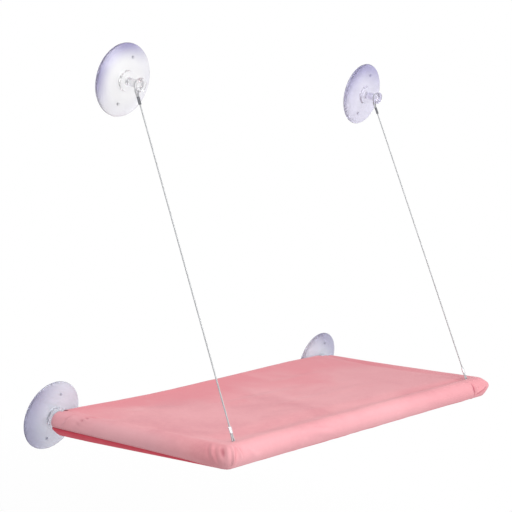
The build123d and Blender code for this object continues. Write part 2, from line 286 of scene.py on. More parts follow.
def metal(name, dark, light, dullness, grain, depth):
    settings = {"Grain": grain, "Dullness": dullness}
    material, shader = skinned(name, metal_skin, settings, dark, light, 0.5, depth)
    shader.inputs["Metallic"].default_value = 1
    return material


wire_steel = metal("wire_steel", paint(158, 159, 161), paint(200, 201, 203), 0.28, 1400, 0.00002)
# How far below the bend the run starts and ends, with a point close to each end
run_points = (0.015, 0.0258, 0.3761, 0.3869)
for word, side in sides.items():
    bend, pin = cable_ends(side)
    down = (pin - bend).normalized()
    line = smooth_line([bend + down * far for far in run_points], 0.001)
    name = f"{word}_wire_rope"
    cable = finished(name, wire_rope(name, line, Vector((1, 0, 0))), wire_steel, None)
    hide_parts(f"{word}_cable")
    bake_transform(cable)


# Eyes
# At each end the rope turns back on itself: at the top round the neck of the suction cup, behind its head,
# and at the bottom round a steel pin in the frame's corner. Both strands lie side by side in the sleeve.
strand_offset = 0.00095
neck_eye_radius, pin_eye_radius = 0.0056, 0.0026


def ring_points(centre, out, up, radius, first, count, step):
    """Control points round part of a circle, far enough out that the smooth line follows its radius."""
    far = radius / cos(radians(step / 2))
    turns = [radians(first + step * k) for k in range(count)]
    return [centre + (out * cos(turn) + up * sin(turn)) * far for turn in turns]


def rope_eye(name, legs, loop, across, body, node):
    """Rope that runs down one leg, round the loop and back up the other leg."""
    line = smooth_line(legs[0] + loop + legs[1][::-1], 0.0008)
    eye = finished(name, wire_rope(name, line, across), wire_steel, body)
    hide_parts(node)


for word, side in sides.items():
    bend, pin = cable_ends(side)
    down = (pin - bend).normalized()
    across = (Vector((1, 0, 0)) - down * down.x).normalized()
    neck = Vector((side * neck_x, eye_plane_y, neck_height))
    loop = ring_points(neck, Vector((1, 0, 0)), Vector((0, 0, 1)), neck_eye_radius, -17.3, 8, 30.7)
    legs = [
        [
            bend + down * 0.0075 + across * hand * strand_offset,
            bend + down * 0.0052 + across * hand * strand_offset,
            bend + down * 0.0016 + across * hand * 0.0017,
            bend + Vector((hand * 0.0023, 0, 0.0008)),
            bend + Vector((hand * 0.0033, 0, 0.0036)),
        ]
        for hand in (1, -1)
    ]
    rope_eye(f"{word}_neck_eye", legs, loop, Vector((0, 1, 0)), "cables", f"upper_{word}_eye")

    up = -down
    loop = ring_points(pin, across, up, pin_eye_radius, -11.0, 6, -31.6)
    legs = [
        [
            pin + up * 0.0227 + across * hand * strand_offset,
            pin + up * 0.0199 + across * hand * strand_offset,
            pin + up * 0.012 + across * hand * 0.0017,
            pin + up * 0.006 + across * hand * 0.0023,
        ]
        for hand in (1, -1)
    ]
    rope_eye(f"{word}_pin_eye", legs, loop, across.cross(up), "platform", f"lower_{word}_eye")


# Sleeves
# Short oval metal sleeves, pressed flat in a few bands, hold the two strands of each eye together. The upper
# ones are dark steel, slim and 9.5 mm long, the lower ones bright aluminium and 7.5 mm.
dark_size, bright_size = (0.0095, 0.002, 0.0012), (0.0075, 0.0023, 0.00135)


def sleeve(name, start, down, size, bands, material, body):
    """An oval tube of rings along the cable, each drawn in or swollen by a share of its size."""
    length, half_width, half_depth = size
    bm = bmesh.new()
    ring = bmesh.ops.create_circle(bm, segments=32, radius=half_depth)["verts"]
    for vertex in ring:
        vertex.co.x += (half_width - half_depth) * (1 if vertex.co.x > 0 else -1)
    first = ring
    for share, swell in bands:
        if ring is not first:
            edges = list({edge for vertex in ring for edge in vertex.link_edges if edge.other_vert(vertex) in ring})
        else:
            edges = bm.edges[:]
        if share > 0:
            grown = bmesh.ops.extrude_edge_only(bm, edges=edges)["geom"]
            ring = [item for item in grown if isinstance(item, bmesh.types.BMVert)]
        now = max(hypot(v.co.x, v.co.y) for v in ring) / half_width
        for vertex in ring:
            vertex.co.x *= swell / now
            vertex.co.y *= swell / now
            vertex.co.z = share * length
    bmesh.ops.holes_fill(bm, edges=bm.edges[:], sides=40)
    bmesh.ops.recalc_face_normals(bm, faces=bm.faces[:])
    across = (Vector((1, 0, 0)) - down * down.x).normalized()
    turn = Matrix((across, down.cross(across), down)).transposed().to_4x4()
    bmesh.ops.transform(bm, matrix=Matrix.Translation(start) @ turn, verts=bm.verts[:])
    return finished(name, mesh_of(bm, name), material, body)


dark_sleeve = metal("dark_sleeve", paint(80, 81, 86), paint(122, 123, 128), 0.34, 700, 0.00004)
bright_sleeve = metal("bright_sleeve", paint(198, 199, 202), paint(232, 232, 234), 0.24, 700, 0.00004)
dark_bands = (
    (0.0, 0.8), (0.03, 0.97), (0.1, 1.0), (0.17, 1.0), (0.2, 0.9), (0.3, 0.9), (0.33, 1.0), (0.43, 1.0),
    (0.46, 0.9), (0.56, 0.9), (0.59, 1.0), (0.69, 1.0), (0.72, 0.9), (0.82, 0.9), (0.85, 1.0), (0.93, 0.98),
    (1.0, 0.7),
)
bright_bands = (
    (0.0, 0.82), (0.04, 0.98), (0.12, 1.0), (0.22, 1.0), (0.28, 0.9), (0.42, 0.9), (0.48, 1.0), (0.58, 1.0),
    (0.64, 0.9), (0.78, 0.9), (0.84, 1.0), (0.96, 0.98), (1.0, 0.82),
)
for word, side in sides.items():
    bend, pin = cable_ends(side)
    down = (pin - bend).normalized()
    start = bend + down * 0.0057
    name = f"{word}_dark_sleeve"
    top = sleeve(name, start, down, dark_size, dark_bands, dark_sleeve, "cables")
    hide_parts(f"upper_{word}_ferrule")
    start = pin - down * 0.0298
    name = f"{word}_bright_sleeve"
    low = sleeve(name, start, down, bright_size, bright_bands, bright_sleeve, "platform")
    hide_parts(f"lower_{word}_ferrule")


# Suction cups
# Each is one soft moulding of clear PVC with a faint lavender tint: a thin rim that lies on the glass, a low
# dome over a hollow, a boss, a neck and a mushroom head, with two small moulded nubs on the dome.
cup_radius, dome_foot = 42.5, 12.6


def dome_height(r):
    """The dome's outside, through its edge, its middle and its foot."""
    middle = (cup_radius + dome_foot) / 2
    edge = 1.2 * (r - middle) * (r - dome_foot) / ((cup_radius - middle) * (cup_radius - dome_foot))
    centre = 5.0 * (r - cup_radius) * (r - dome_foot) / ((middle - cup_radius) * (middle - dome_foot))
    foot = 6.0 * (r - cup_radius) * (r - middle) / ((dome_foot - cup_radius) * (dome_foot - middle))
    return edge + centre + foot


def cup_profile():
    """Radius and height in millimetres, from the middle of the hollow round the outside to the head's middle."""
    hollow = [(30 * k / 12, 2.0 * (1 - (k / 12) ** 2)) for k in range(13)]
    rim = [(36, 0), (42.0, 0), (42.35, 0.12), (42.5, 0.4), (42.5, 0.8), (42.35, 1.1), (42.0, 1.28)]
    dome = [(41.4 - 28.4 * k / 26, dome_height(41.4 - 28.4 * k / 26)) for k in range(27)]
    boss = [(12.5, 6.15), (12.1, 6.6), (11.3, 8.0), (11.0, 8.3), (10.5, 8.4), (5.9, 8.4), (5.0, 8.6), (4.55, 9.2)]
    neck = [(4.5, 10.5), (4.5, 17.0), (4.5, 25.3), (4.8, 26.1), (5.5, 26.4)]
    head = [(7.1, 26.4), (7.7, 26.6), (8.03, 27.0), (8.09, 27.5), (8.09, 29.1), (7.98, 29.6), (7.65, 30.0)]
    crown = [(7.1, 30.2), (6.0, 30.2), (5.6, 30.05), (5.0, 30.0), (2.5, 30.0), (0, 30.0)]
    return hollow + rim + dome + boss + neck + head + crown


def suction_cup(name, x, z, shaded_side):
    """The cup's map is turned so that its material's painted shade falls on the shaded side."""
    bm = bmesh.new()
    chain = [bm.verts.new((r / 1000, -h / 1000, 0)) for r, h in cup_profile()]
    edges = [bm.edges.new(pair) for pair in zip(chain, chain[1:])]
    bmesh.ops.spin(bm, geom=chain + edges, axis=(0, 1, 0), angle=2 * pi, steps=112, use_merge=True)
    bmesh.ops.remove_doubles(bm, verts=bm.verts[:], dist=1e-6)
    bmesh.ops.recalc_face_normals(bm, faces=bm.faces[:])
    for turn in (78, 258):
        r = (cup_radius + dome_foot) / 2000
        centre = Vector((r * cos(radians(turn)), -0.0046, r * sin(radians(turn))))
        stand = Matrix.Translation(centre) @ Matrix.Rotation(pi / 2, 4, "X")
        nub = bmesh.ops.create_cone(
            bm, cap_ends=True, segments=28, radius1=0.0018, radius2=0.0014, depth=0.0018, matrix=stand
        )
        top = [face for face in {f for v in nub["verts"] for f in v.link_faces} if face.normal.y < -0.9]
        bmesh.ops.inset_region(bm, faces=top, thickness=0.0005, depth=-0.0004)
    across = bm.loops.layers.uv.new("across_the_cup")
    to_shaded_side = Matrix.Rotation(-radians(shaded_side), 2)
    for face in bm.faces:
        for loop in face.loops:
            loop[across].uv = to_shaded_side @ Vector((loop.vert.co.x, loop.vert.co.z)) * (1000 / cup_radius)
    bmesh.ops.translate(bm, verts=bm.verts[:], vec=(x, 0, z))
    return mesh_of(bm, name)


def clear_plastic(name, pale, deep, clearness, inner, body):
    """Soft clear plastic, glossy but a little hazy, with painted shade: a deeper tint from inner outwards on one
    side, and at grazing edges.
    """
    material, tree, place, shader = new_material(name)
    haze = add_node(tree, "TexNoise", {"Vector": place, "Scale": 60, "Detail": 3})
    fine = add_node(tree, "TexNoise", {"Vector": place, "Scale": 260, "Detail": 2})
    # Painted shade: the tint deepens towards the rim on the cup's shaded side, by at least body everywhere, and at
    # grazing edges
    facing = add_node(tree, "LayerWeight", {"Blend": 0.3})
    across = add_node(tree, "UVMap", uv_map="across_the_cup").outputs[0]
    far_out = add_node(tree, "VectorMath", {0: across}, operation="LENGTH").outputs["Value"]
    ends = {"Value": far_out, "From Min": inner, "From Max": 0.98, "To Min": body}
    rim = add_node(tree, "MapRange", ends, interpolation_type="SMOOTHSTEP")
    side = add_node(tree, "SeparateXYZ", {"Vector": across}).outputs[0]
    ends = {"Value": side, "From Min": -0.3, "From Max": 0.8, "To Min": 0.12}
    side_shade = add_node(tree, "MapRange", ends, interpolation_type="SMOOTHSTEP")
    shade_band = add_node(tree, "Math", {0: rim.outputs[0], 1: side_shade.outputs[0]}, operation="MULTIPLY").outputs[0]
    edge_shade_haze = add_node(tree, "Math", {0: facing.outputs["Facing"], 1: haze.outputs[0]}, operation="MULTIPLY").outputs[0]
    tint_and_shade = add_node(tree, "Math", {0: edge_shade_haze, 1: 0.9, 2: shade_band}, operation="MULTIPLY_ADD", use_clamp=True)
    tint = add_node(tree, "Mix", {0: tint_and_shade.outputs[0], 6: pale, 7: deep}, data_type="RGBA")
    cloudy = add_node(tree, "MapRange", {"Value": haze.outputs[0], "To Min": 0.14, "To Max": 0.3})
    ripple = add_node(tree, "Bump", {"Strength": 0.25, "Distance": 0.0004, "Height": fine.outputs[0]})
    tree.links.new(tint.outputs[2], shader.inputs["Base Color"])
    tree.links.new(cloudy.outputs[0], shader.inputs["Roughness"])
    tree.links.new(ripple.outputs[0], shader.inputs["Normal"])
    shader.inputs["Transmission Weight"].default_value = clearness
    shader.inputs["IOR"].default_value = 1.5
    return material


# Lit and shaded copies of the same PVC, as painted light and shade: the left upper cup is the clearest, the right one
# more tinted, and the lower ones, in the bed's shadow, hazier and greyer
clear_pvc = clear_plastic("clear_pvc", paint(255, 255, 255), paint(174, 169, 208), 0.88, 0.46, 0.0)
half_shaded_pvc = clear_plastic("half_shaded_pvc", paint(244, 242, 255), paint(188, 184, 220), 0.8, 0.35, 0.15)
shaded_pvc = clear_plastic("shaded_pvc", paint(242, 246, 255), paint(188, 187, 212), 0.66, 0.2, 0.2)
lower_x = 0.2665
for level, word, x, z, shaded_side, pvc in (
    ("upper", "left", -neck_x, neck_height, 135, clear_pvc),
    ("upper", "right", neck_x, neck_height, 110, half_shaded_pvc),
    ("lower", "left", -lower_x, 0, 180, shaded_pvc),
    ("lower", "right", lower_x, 0, 40, shaded_pvc),
):
    name = f"{level}_{word}_clear_cup"
    cup = finished(name, suction_cup(name, x, z, shaded_side), pvc, f"{level}_{word}_cup")
    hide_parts(f"{level}_{word}_suction_cup")


# Cover, pink upper panel
# Short-pile brushed microfibre, stretched over the tube frame: a sagging middle panel whose edges roll round
# the tubes and end in a sewn hem low on the sides. It has a slot at each rear corner for the cup's neck to
# swing in, and a slit at each front corner for the cable's eye. Sizes of the cover are in millimetres.
rail_half, rail_far = 266.5, 247.0
roll = 13.5
panel_edge, panel_sag = 13.1, 4.5
cloth_thickness = 1.0
slot_half, slot_rear, slot_low = 5.7, 2.4, -3.0
slit_x, slit_half, slit_width = 248.5, 4.6, 1.5
tilt = radians(12.5)
deck = Matrix(((1, 0, 0), (0, cos(tilt), sin(tilt)), (0, -sin(tilt), cos(tilt)))).to_4x4()
deck = Matrix.Translation((0, -0.0232, 0)) @ deck @ Matrix.Scale(0.001, 4)
seam_point, seam_drop = Vector((0, 0, -4.5)), 7.5
seam_up = Vector((0, -seam_drop, rail_far)).normalized()
hem_reach = 40


def clamped(share):
    return max(0.0, min(1.0, share))


def bell(far):
    """1 at nothing, falling smoothly to nearly 0 at 2 either way."""
    return 2.718 ** (-(far * far))


def from_frame(u, v):
    """The nearest point of the rectangle of tube axes, and how far outside it a point of the flat cloth is."""
    near = Vector((max(-rail_half, min(rail_half, u)), max(-rail_far, min(0.0, v)), 0))
    return near, Vector((u, v, 0)) - near


def higher(a, b, soft):
    """The higher of two heights, with a soft join."""
    share = max(soft - abs(a - b), 0) / soft
    return max(a, b) + share * share * soft / 4


def panel_height(u, v, inside):
    """The top between the tubes: it sags a little, lies level with the sides and the rear, and dips at the front."""
    across = 1 - (u / rail_half) ** 2
    along = 1 - ((v + rail_far / 2) / (rail_far / 2)) ** 2
    # Behind the front roll it runs down into a valley, wide on the left and narrow towards the right
    narrow = clamped((u + 60) / 290)
    valley = (rail_far + v - 26 + 13 * narrow) / (17 - 9 * narrow)
    dip = 0.7 * clamped((-v - 150) / 90) + 2.9 * bell(valley)
    dip *= clamped((258 - abs(u)) / 18)
    waves = 0.4 * noise.noise(Vector((u / 120, v / 42, 3.1))) + 0.2 * noise.noise(Vector((u / 60, v / 19, 8.7)))
    return panel_edge - dip - panel_sag * along * (0.6 + 0.4 * across) + waves * min(1.0, inside / 25)


def laid_over(u, v):
    """Where a point of the flat cloth comes to lie on top of the frame or round its outer edge."""
    near, out = from_frame(u, v)
    if out.length < 1e-9:
        inside = min(rail_half - abs(u), -v, rail_far + v)
        round_tube = sqrt(max(roll * roll - inside * inside, 0))
        return Vector((u, v, higher(panel_height(u, v, inside), round_tube, 0.01 + min(2.6, 0.35 * inside))))
    turn = out.length / roll
    return near + out.normalized() * roll * sin(turn) + Vector((0, 0, roll * cos(turn)))


def rear_swell(u, v):
    """The rear edge stands up towards the right corner and sinks along its left half, by a few millimetres."""
    rear = bell(min(0.0, v) / 55)
    right = 3.4 * clamped((u - 20) / 150) * (1 - 0.65 * clamped((u - 242) / 12))
    left = -1.7 * max(0.0, sin(pi * (u + 232) / 230)) if -232 < u < -2 else 0.0
    return rear * (right + left)


def crease(u, v, start, end, width, height):
    """A short raised fold with a soft furrow beside it."""
    a, b = Vector(start), Vector(end)
    run = b - a
    share = clamped((Vector((u, v)) - a).dot(run) / run.length_squared)
    gap = Vector((u, v)) - (a + run * share)
    off = run.x * gap.y - run.y * gap.x
    far = gap.length * (1 if off > 0 else -1)
    fade = sin(pi * (0.12 + 0.76 * share))
    return height * fade * (bell(far / width) - 0.6 * bell((far - 1.7 * width) / width))


# Start, end, width and height of each fold. A height below 0 makes it a furrow.
creases = (
    ((-287, -36), (-272, -51), 1.5, 2.3),
    ((-280, -45), (-270, -66), 2.6, 1.3),
    ((-287, -14), (-275, -26), 1.7, 1.7),
    ((-272, -128), (-290, -118), 2.6, 0.6),
    ((-268, -180), (-289, -196), 3.0, 0.6),
    ((-274, -229), (-290, -237), 2.2, -0.9),
    ((-276, -236), (-293, -246), 1.8, 1.3),
    ((-275, -248), (-283, -257), 3.2, -1.8),
    ((-267, -253), (-276, -272), 1.8, 2.6),
    ((-263, -256), (-260, -268), 1.9, 2.0),
    ((-246, -262), (-226, -275), 2.8, 0.8),
    ((228, -255), (233, -276), 2.4, 1.7),
    ((241, -277), (234, -254), 1.8, -3.0),
    ((239, -254), (247, -271), 2.2, 1.3),
    ((250, -269), (268, -263), 2.0, 1.3),
    ((246, -274), (266, -268), 1.6, -3.6),
    ((-170, -254), (-110, -266), 5.0, 0.6),
    ((-128, -262), (-92, -270), 3.4, 1.1),
    ((-40, -254), (40, -262), 6.0, 0.5),
    ((100, -258), (170, -272), 4.5, 0.6),
    ((-130, -92), (90, -102), 6.5, 0.6),
    ((-80, -146), (170, -158), 7.0, 0.5),
    ((30, -56), (200, -66), 6.0, 0.5),
    ((-215, -22), (-196, -62), 4.5, 0.5),
    ((214, -20), (192, -56), 4.5, 0.5),
)


def folds(u, v):
    return sum(crease(u, v, *fold) for fold in creases)


def rumple(u, v):
    """How far the cloth stands off its smooth shape: slack over the tubes, puckers at the corners, creases."""
    near, out = from_frame(u, v)
    far = out.length
    rise = folds(u, v)
    if far > 0:
        slack = min(1.0, far / 12)
        broad = 0.4 * noise.noise(Vector((u / 34, v / 34, 1.9)))
        fine = 0.2 * noise.noise(Vector((u / 13, v / 13, 5.3)))
        rise += slack * (broad + fine + 0.3)
        # The front corners are loose: the cloth stands out there in a soft point
        loose = hypot(max(0.0, rail_half - 12 - abs(u)), max(0.0, v + rail_far - 12)) / 26
        rise += (0.5 if u > 0 else 1.2) * slack * bell(loose) * clamped((36 - far) / 12)
        # The left end bags outwards by the rear
        rise += 2.4 * slack * bell(v / 60) * (out.x / far) ** 2 if out.x < 0 else 0.0
        if abs(out.x) > 0 and abs(out.y) > 0:
            turn = atan2(abs(out.y), abs(out.x))
            low = clamped((far - 8) / 12)
            pleats = 0.5 if v > -120 else 0.2
            rise += pleats * sin(2 * turn) * (0.5 + 0.5 * cos(14 * turn + (1.3 if u > 0 else 0.2))) * low
            if v < 0:
                rise += (3.4 if u > 0 else 0.6) * sin(2 * turn) ** 2 * bell((far - 18.5) / 5)
    return max(rise, -0.7)


def corner_dip(x, y):
    """At the front corners the seam is drawn further down, under the tube."""
    return 0.9 * bell(hypot(abs(x) - rail_half, y + rail_far) / 38)


def cut_at_seam(bm, keep_top):
    """Cuts the panel along the seam plane, and turns its edge in a little, as a sewn edge lies."""
    for vertex in bm.verts:
        vertex.co.z += corner_dip(vertex.co.x, vertex.co.y)
    bmesh.ops.bisect_plane(
        bm,
        geom=bm.verts[:] + bm.edges[:] + bm.faces[:],
        plane_co=seam_point,
        plane_no=seam_up,
        clear_inner=keep_top,
        clear_outer=not keep_top,
    )
    bm.normal_update()
    for vertex in bm.verts:
        above = (vertex.co - seam_point).dot(seam_up) * (1 if keep_top else -1)
        flare = max(0.35, hypot(vertex.normal.x, vertex.normal.y))
        vertex.co.z -= corner_dip(vertex.co.x, vertex.co.y)
        vertex.co -= vertex.normal * 0.9 * bell(above / flare / 1.3)


def cut_window(bm, turn, planes, inside):
    """Cuts the cloth near a window along its sides, given in its own frame, and removes the faces inside it."""
    back = turn.inverted()
    for point, normal in planes:
        faces = [face for face in bm.faces if inside(back @ face.calc_center_median(), 3.0)]
        geom = list({item for face in faces for item in (*face.verts, *face.edges)}) + faces
        bmesh.ops.bisect_plane(bm, geom=geom, plane_co=turn @ Vector(point), plane_no=turn.to_3x3() @ Vector(normal))
    gone = [face for face in bm.faces if inside(back @ face.calc_center_median(), 0.0)]
    bmesh.ops.delete(bm, geom=gone, context="FACES")


def box_sides(half_x, half_y):
    across = [((side * half_x, 0, 0), (1, 0, 0)) for side in (-1, 1)]
    return across + [((0, side * half_y, 0), (0, 1, 0)) for side in (-1, 1)]


def fold_cloth(bm, lay, reach):
    """Gives the flat grid its cloth map, drops what lies past the hem and lays the rest over the frame."""
    flat = bm.loops.layers.uv.new("cloth")
    for face in bm.faces:
        for loop in face.loops:
            loop[flat].uv = (loop.vert.co.x / 1000, loop.vert.co.y / 1000)
    far = [vertex for vertex in bm.verts if from_frame(vertex.co.x, vertex.co.y)[1].length > reach]
    bmesh.ops.delete(bm, geom=far, context="VERTS")
    rises = [rumple(vertex.co.x, vertex.co.y) for vertex in bm.verts]
    for vertex in bm.verts:
        vertex.co = lay(vertex.co.x, vertex.co.y)
    bm.normal_update()
    return rises


def spaced(share, inner, outer, coarse):
    """Places rows of the grid: wide apart on the panel, and close together over the tubes, where it is creased."""
    far = abs(share)
    if far < coarse:
        return inner * share / coarse
    place = inner + (outer - inner) * (far - coarse) / (1 - coarse)
    return place if share > 0 else -place


def cloth_grid(cells_x, cells_y, reach):
    bm = bmesh.new()
    bmesh.ops.create_grid(bm, x_segments=cells_x, y_segments=cells_y, size=1)
    for vertex in bm.verts:
        u = spaced(vertex.co.x, rail_half - 30, rail_half + reach, 0.46)
        v = spaced(vertex.co.y, rail_far / 2 - 25, rail_far / 2 + reach, 0.32)
        vertex.co = (u, v - rail_far / 2, 0)
    return bm


bm = cloth_grid(208, 142, hem_reach)
# How deep each furrow is, for the painted shade in the creases
crease_shade = bm.verts.layers.float.new("crease_shade")
for vertex in bm.verts:
    vertex[crease_shade] = clamped((-folds(vertex.co.x, vertex.co.y) - 0.5) / 2.2)
rises = fold_cloth(bm, laid_over, hem_reach)
for vertex, rise in zip(bm.verts, rises):
    swell = rear_swell(vertex.co.x, vertex.co.y) * clamped((vertex.co.z + 4) / 12)
    vertex.co += vertex.normal * rise + Vector((0, 0, swell))
cut_at_seam(bm, True)


# The slots for the cups' necks run round the rear corners, from the rest place up to the top
def in_slot(place, room):
    return abs(place.x) < slot_half + room and place.y > -slot_rear - room and place.z > slot_low - room


for side in sides.values():
    centre = Matrix.Translation((side * rail_half, 0, 0))
    slot_sides = box_sides(slot_half, slot_rear)[:3] + [((0, 0, slot_low), (0, 0, 1))]
    cut_window(bm, centre, slot_sides, in_slot)


# The slits for the cables' eyes lie across the cable's line, high on the front tube
def in_slit(place, room):
    return abs(place.x) < slit_half + room and abs(place.y) < slit_width + room and place.z > 5


for side in sides.values():
    bend, pin = cable_ends(side)
    up = (deck.inverted().to_3x3() @ (bend - pin)).normalized()
    across = (Vector((1, 0, 0)) - up * up.x).normalized()
    slit = Matrix((across, up.cross(across), up)).transposed().to_4x4()
    slit.translation = (side * slit_x, -rail_far, 0)
    cut_window(bm, slit, box_sides(slit_half, slit_width), in_slit)

pink_surface = BVHTree.FromBMesh(bm)
bmesh.ops.transform(bm, matrix=deck, verts=bm.verts[:])

# Brushed cloth lies in lighter and darker patches where a hand has stroked its pile one way or the other
brushed_nap, given, made = new_group(
    "brushed_nap", {"Patch Scale": 38.0, "Pile Scale": 900.0, "Contrast": 1.0}, ("Shade", "Height")
)
patches = {"Vector": given["Vector"], "Scale": given["Patch Scale"], "Detail": 4, "Distortion": 0.6}
patches = add_node(brushed_nap, "TexNoise", patches)
flecks = add_node(brushed_nap, "TexNoise", {"Vector": given["Vector"], "Scale": 210, "Detail": 3})
pile = add_node(brushed_nap, "TexNoise", {"Vector": given["Vector"], "Scale": given["Pile Scale"], "Detail": 3})
centred = add_node(brushed_nap, "Math", {0: patches.outputs[0], 1: 0.5}, operation="SUBTRACT")
fleck = add_node(brushed_nap, "Math", {0: flecks.outputs[0], 1: 0.5}, operation="SUBTRACT")
fleck = add_node(brushed_nap, "Math", {0: fleck.outputs[0], 1: 0.25, 2: centred.outputs[0]}, operation="MULTIPLY_ADD")
strong = add_node(brushed_nap, "Math", {0: fleck.outputs[0], 1: given["Contrast"], 2: 0.5}, operation="MULTIPLY_ADD")
brushed_nap.links.new(strong.outputs[0], made.inputs["Shade"])
brushed_nap.links.new(pile.outputs[0], made.inputs["Height"])


def brushed_cloth(name, deep, middle, pale, patch_scale, contrast, sheen, rear_tone=None):
    """Cloth in three tones. With a rear tone, it mixes that in along the rear edge, and paints shade and light on the
    cover.
    """
    material, tree, place, shader = new_material(name)
    nap = add_node(tree, "Group", node_tree=brushed_nap)
    tree.links.new(place, nap.inputs["Vector"])
    nap.inputs["Patch Scale"].default_value = patch_scale
    nap.inputs["Contrast"].default_value = contrast
    shade = add_node(tree, "ValToRGB", {"Fac": nap.outputs["Shade"]})
    stops = shade.color_ramp.elements
    stops[0].position, stops[0].color = 0.22, deep
    stops[1].position, stops[1].color = 0.8, pale
    stops.new(0.5).color = middle
    bump = add_node(tree, "Bump", {"Strength": 0.6, "Distance": 0.0005, "Height": nap.outputs["Height"]})
    colour = shade.outputs[0]
    if rear_tone:
        # Along the rear edge the rear tone mixes in, in wandering patches
        wander = add_node(tree, "TexNoise", {"Vector": place, "Scale": 6, "Detail": 3, "Distortion": 0.8})
        depth = add_node(tree, "SeparateXYZ", {"Vector": place})
        edge = add_node(tree, "Math", {0: wander.outputs[0], 1: 0.34, 2: depth.outputs[1]}, operation="MULTIPLY_ADD")
        ends = {"Value": edge.outputs[0], "From Min": 0.05, "From Max": 0.115, "To Max": 0.9}
        share = add_node(tree, "MapRange", ends)
        mixed = add_node(tree, "Mix", {0: share.outputs[0], 6: colour, 7: rear_tone}, data_type="RGBA")
        # The right half is painted a little deeper, as painted shade where the top slopes away from the light
        right = add_node(tree, "Math", {0: wander.outputs[1], 1: 0.3, 2: depth.outputs[0]}, operation="MULTIPLY_ADD")
        ends = {"Value": right.outputs[0], "From Min": 0.1, "From Max": 0.4, "To Max": 0.5}
        right_shade = add_node(tree, "MapRange", ends)
        mixed = add_node(tree, "Mix", {0: right_shade.outputs[0], 6: mixed.outputs[2], 7: deep}, data_type="RGBA")
        # On the front roll, less towards its right end, and on the left side's rear part it is painted paler, as
        # painted light
        ends = {"Value": depth.outputs[0], "From Min": 0.06, "From Max": 0.24, "To Min": 0.4, "To Max": 0.16}
        most = add_node(tree, "MapRange", ends)
        ends = {"Value": depth.outputs[1], "From Min": -0.262, "From Max": -0.274, "To Max": most.outputs[0]}
        front = add_node(tree, "MapRange", ends)
        ends = {"Value": depth.outputs[0], "From Min": -0.266, "From Max": -0.278, "To Max": 0.6}
        left = add_node(tree, "MapRange", ends)
        behind = add_node(tree, "MapRange", {"Value": depth.outputs[1], "From Min": -0.23, "From Max": -0.17})
        painted_light = {0: left.outputs[0], 1: behind.outputs[0], 2: front.outputs[0]}
        painted_light = add_node(tree, "Math", painted_light, operation="MULTIPLY_ADD", use_clamp=True)
        lit_side = {0: painted_light.outputs[0], 6: mixed.outputs[2], 7: paint(238, 183, 189)}
        mixed = add_node(tree, "Mix", lit_side, data_type="RGBA")
        # Painted shade in the creases: where the cloth is folded into a furrow, a deep red-pink is mixed in
        furrow_shade = add_node(tree, "Attribute", attribute_name="crease_shade").outputs["Fac"]
        mixed = add_node(tree, "Mix", {0: furrow_shade, 6: mixed.outputs[2], 7: paint(172, 76, 94)}, data_type="RGBA")
        colour = mixed.outputs[2]
    tree.links.new(colour, shader.inputs["Base Color"])
    tree.links.new(bump.outputs[0], shader.inputs["Normal"])
    shader.inputs["Roughness"].default_value = 0.95
    shader.inputs["Specular IOR Level"].default_value = 0.2
    shader.inputs["Sheen Weight"].default_value = sheen
    shader.inputs["Sheen Roughness"].default_value = 0.45
    return material


pink_tones = (paint(220, 142, 150), paint(231, 157, 163), paint(239, 169, 174))
pink_cloth = brushed_cloth("pink_microfibre", *pink_tones, 11, 1.2, 0.2, paint(228, 134, 143))
cover = finished("pink_cover", mesh_of(bm, "pink_cover"), pink_cloth, "platform")
wall = cover.modifiers.new("cloth", "SOLIDIFY")
wall.thickness = cloth_thickness / 1000
wall.offset = -1
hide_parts("cover_top")


# Hem stitches
# One row of pink thread holds the pink panel's turned edge to the red panel, all round the bed.
def seam_turn(near, out, rise):
    """How far round the tube, from its top, the cloth is a given height above the seam."""
    low, high = radians(60), radians(175)
    for _ in range(24):
        turn = (low + high) / 2
        place = near + out * roll * sin(turn) + Vector((0, 0, roll * cos(turn)))
        if (place - seam_point).dot(seam_up) > rise:
            low = turn
        else:
            high = turn
    return low


stitch_pitch, stitch_length = 3.4, 2.5


def round_the_bed(pitch):
    """Points of the rectangle of tube axes with the way out from it, a pitch apart on the cloth's edge."""
    corner_steps = round(roll * pi / 2 / pitch)
    corners = [Vector((x, y, 0)) for x, y in ((1, 0), (-1, 0), (-1, -1), (1, -1))]
    corners = [Vector((corner.x * rail_half, corner.y * rail_far, 0)) for corner in corners]
    for start, end, first in zip(corners, corners[1:] + corners[:1], (90, 180, 270, 0)):
        steps = round((end - start).length / pitch)
        for k in range(steps + 1):
            yield start.lerp(end, k / steps), first
        for k in range(1, corner_steps):
            yield end, first + 90 * k / corner_steps


def add_stitch(bm, place, along, normal, length):
    """One stitch: a thread that lies along the cloth and dips into it at both ends."""
    side = normal.cross(along)
    lie = Matrix((along * length / 2, side * 0.34, normal * 0.3)).transposed().to_4x4()
    lie.translation = place
    bmesh.ops.create_uvsphere(bm, u_segments=6, v_segments=4, radius=1, matrix=lie)


bm = bmesh.new()
row = []
for near, heading in round_the_bed(stitch_pitch):
    out = Vector((cos(radians(heading)), sin(radians(heading)), 0))
    turn = seam_turn(near, out, 2.4)
    normal = out * sin(turn) + Vector((0, 0, cos(turn)))
    place = near + normal * roll
    hit, cloth_normal, _, _ = pink_surface.ray_cast(place + normal * 6, -normal, 9)
    row.append((hit, cloth_normal) if hit else None)
for here, ahead in zip(row, row[1:] + row[:1]):
    if here and ahead and 2 < (ahead[0] - here[0]).length < 5:
        along = (ahead[0] - here[0]).normalized()
        normal = (here[1] - along * here[1].dot(along)).normalized()
        add_stitch(bm, here[0].lerp(ahead[0], 0.5), along, normal, stitch_length)
bmesh.ops.transform(bm, matrix=deck, verts=bm.verts[:])
thread_tones = (paint(205, 116, 128), paint(216, 130, 140), paint(226, 146, 154))
pink_thread = brushed_cloth("pink_thread", *thread_tones, 300, 1.0, 0.2)
